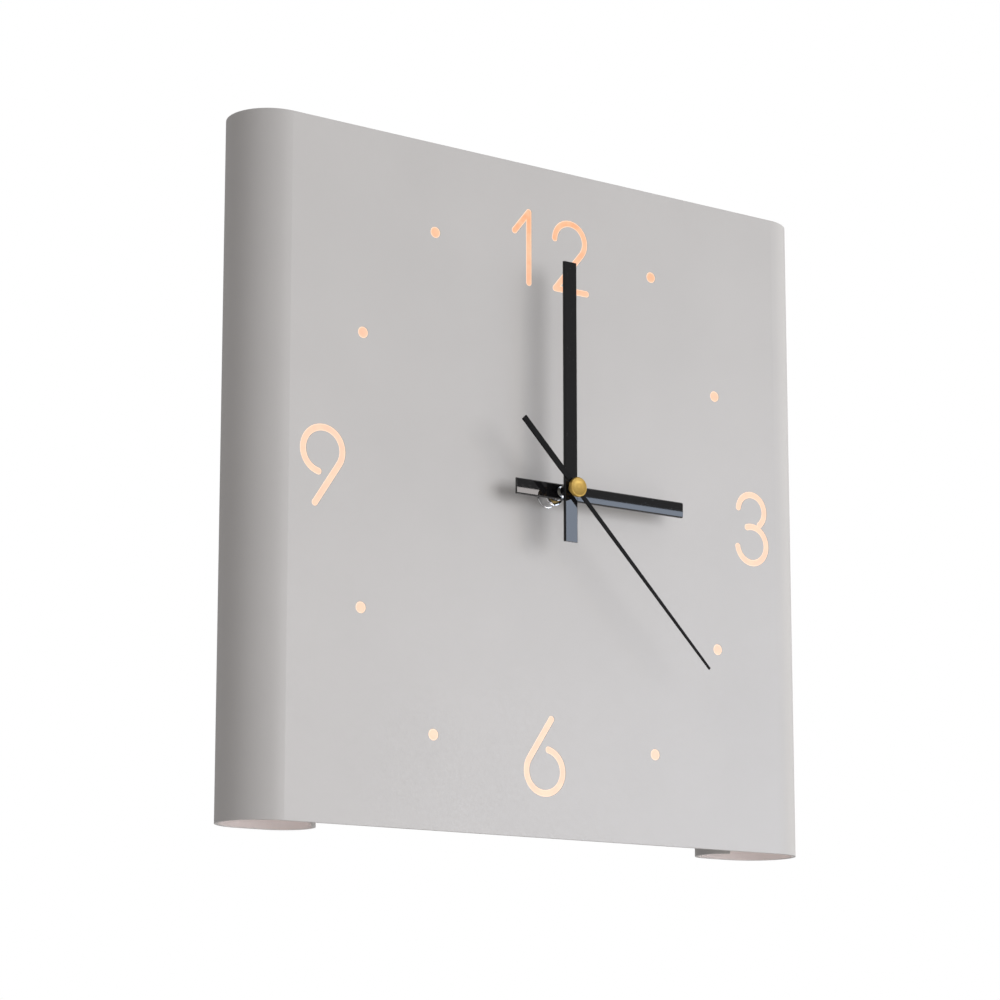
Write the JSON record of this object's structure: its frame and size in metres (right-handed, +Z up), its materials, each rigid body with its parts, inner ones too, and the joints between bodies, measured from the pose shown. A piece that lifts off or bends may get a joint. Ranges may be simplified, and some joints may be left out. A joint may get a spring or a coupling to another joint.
{
  "type": "wall clock",
  "caption": "Square wall clock made of one bent sheet with rolled sides, cut-through lit numerals, black bar hands and a quartz movement.",
  "frame": {"origin": "where the axis of the hands meets the wall plane", "axes": "+Z up, +X to the right as seen from the front, the face looks along -Y and the wall is at Y = 0"},
  "size_m": [0.3, 0.062, 0.3],
  "materials": {
    "sheet": "satin light grey powder coat",
    "lit_inlay": "opal acrylic, lit warm from behind",
    "opal": "opal acrylic panel",
    "tray_white": "white painted folded sheet",
    "strip_board": "white lamp strip",
    "lamp": "phosphor capped lamp",
    "zinc_steel": "zinc plated steel",
    "spring_steel": "blued spring steel",
    "back_paint": "matt black painted sheet",
    "black_screw": "black oxide steel",
    "circuit_green": "solder masked board",
    "socket_metal": "stamped nickel plated shell",
    "switch_metal": "stamped steel frame",
    "switch_black": "black moulded lever",
    "cell_foil": "laminated foil pouch",
    "wire_red": "soft wire covering",
    "wire_white": "soft wire covering",
    "works_black": "black moulded case",
    "brass": "turned brass",
    "rubber_black": "soft black rubber",
    "nut_chrome": "polished chrome",
    "battery_sleeve": "printed plastic sleeve, plain",
    "contact_spring": "nickel plated spring strip",
    "can_steel": "drawn steel can",
    "copper_wire": "enamelled copper winding",
    "soft_iron": "punched soft iron",
    "magnet": "sintered magnet with white pinion",
    "wheel_white": "white moulded wheel",
    "hand_black": "gloss black lacquered hand",
    "second_black": "black lacquered thin sheet",
    "cap_brass": "turned and polished brass"
  },
  "bodies": {
    "case": {"front_shell": "sheet", "numeral_inlays": "lit_inlay", "dot_inlays": "lit_inlay", "diffuser_panel": "opal", "light_tray": "tray_white", "led_strips": "strip_board", "led_lamps": "lamp", "pillars": "zinc_steel", "push_nuts": "spring_steel", "back_cover": "back_paint", "cover_screws": "black_screw", "control_board": "circuit_green", "charge_socket": "socket_metal", "switch_body": "switch_metal", "light_cell": "cell_foil", "cell_wires": "wire_red", "lamp_wires": "wire_white", "board_screws": "zinc_steel", "works_case": "works_black", "works_lid": "works_black", "works_bushing": "brass", "rubber_washer": "rubber_black", "dial_washer": "brass", "dial_nut": "nut_chrome", "battery": "battery_sleeve", "battery_contacts": "contact_spring", "works_board": "circuit_green", "crystal": "can_steel", "coil": "copper_wire", "stator": "soft_iron"},
    "light_switch_lever": {"switch_slider": "switch_black"},
    "rotor": {"rotor": "magnet"},
    "fifth_wheel": {"fifth_wheel": "wheel_white"},
    "second_hand": {"second_wheel": "brass", "second_hand": "second_black", "brass_cap": "cap_brass"},
    "third_wheel": {"third_wheel": "wheel_white"},
    "minute_hand": {"centre_wheel": "brass", "minute_collet": "hand_black", "minute_hand": "hand_black"},
    "setting_wheel": {"setting_wheel": "wheel_white", "setting_knob": "wheel_white"},
    "hour_hand": {"hour_wheel": "brass", "hour_collet": "hand_black", "hour_hand": "hand_black"}
  },
  "joints": [
    {"name": "second_hand_turn", "type": "hinge", "parent": "case", "child": "second_hand", "pos_m": [0, -0.045, 0], "axis": [0, 1, 0], "continuous": true},
    {"name": "minute_hand_turn", "type": "hinge", "parent": "case", "child": "minute_hand", "pos_m": [0, -0.045, 0], "axis": [0, 1, 0], "continuous": true},
    {"name": "hour_hand_turn", "type": "hinge", "parent": "case", "child": "hour_hand", "pos_m": [0, -0.045, 0], "axis": [0, 1, 0], "continuous": true},
    {"name": "rotor_turn", "type": "hinge", "parent": "case", "child": "rotor", "pos_m": [-0.0103, -0.027, 0.01555], "axis": [0, 1, 0], "continuous": true},
    {"name": "fifth_wheel_turn", "type": "hinge", "parent": "case", "child": "fifth_wheel", "pos_m": [-0.00188, -0.027, 0.01069], "axis": [0, 1, 0], "continuous": true},
    {"name": "third_wheel_turn", "type": "hinge", "parent": "case", "child": "third_wheel", "pos_m": [0.00891, -0.027, 0.00624], "axis": [0, 1, 0], "continuous": true},
    {"name": "setting_wheel_turn", "type": "hinge", "parent": "case", "child": "setting_wheel", "pos_m": [-0.01063, -0.027, 0.00285], "axis": [0, 1, 0], "continuous": true},
    {"name": "light_switch_slide", "type": "slide", "parent": "case", "child": "light_switch_lever", "axis": [1, 0, 0], "range_m": [0, 0.003]}
  ],
  "couplings": [
    {"joint": "minute_hand_turn", "follows": "second_hand_turn", "ratio": 0.016667},
    {"joint": "hour_hand_turn", "follows": "second_hand_turn", "ratio": 0.0013889},
    {"joint": "rotor_turn", "follows": "second_hand_turn", "ratio": 30},
    {"joint": "fifth_wheel_turn", "follows": "second_hand_turn", "ratio": -6},
    {"joint": "third_wheel_turn", "follows": "second_hand_turn", "ratio": -0.125},
    {"joint": "setting_wheel_turn", "follows": "second_hand_turn", "ratio": -0.0055556}
  ]
}
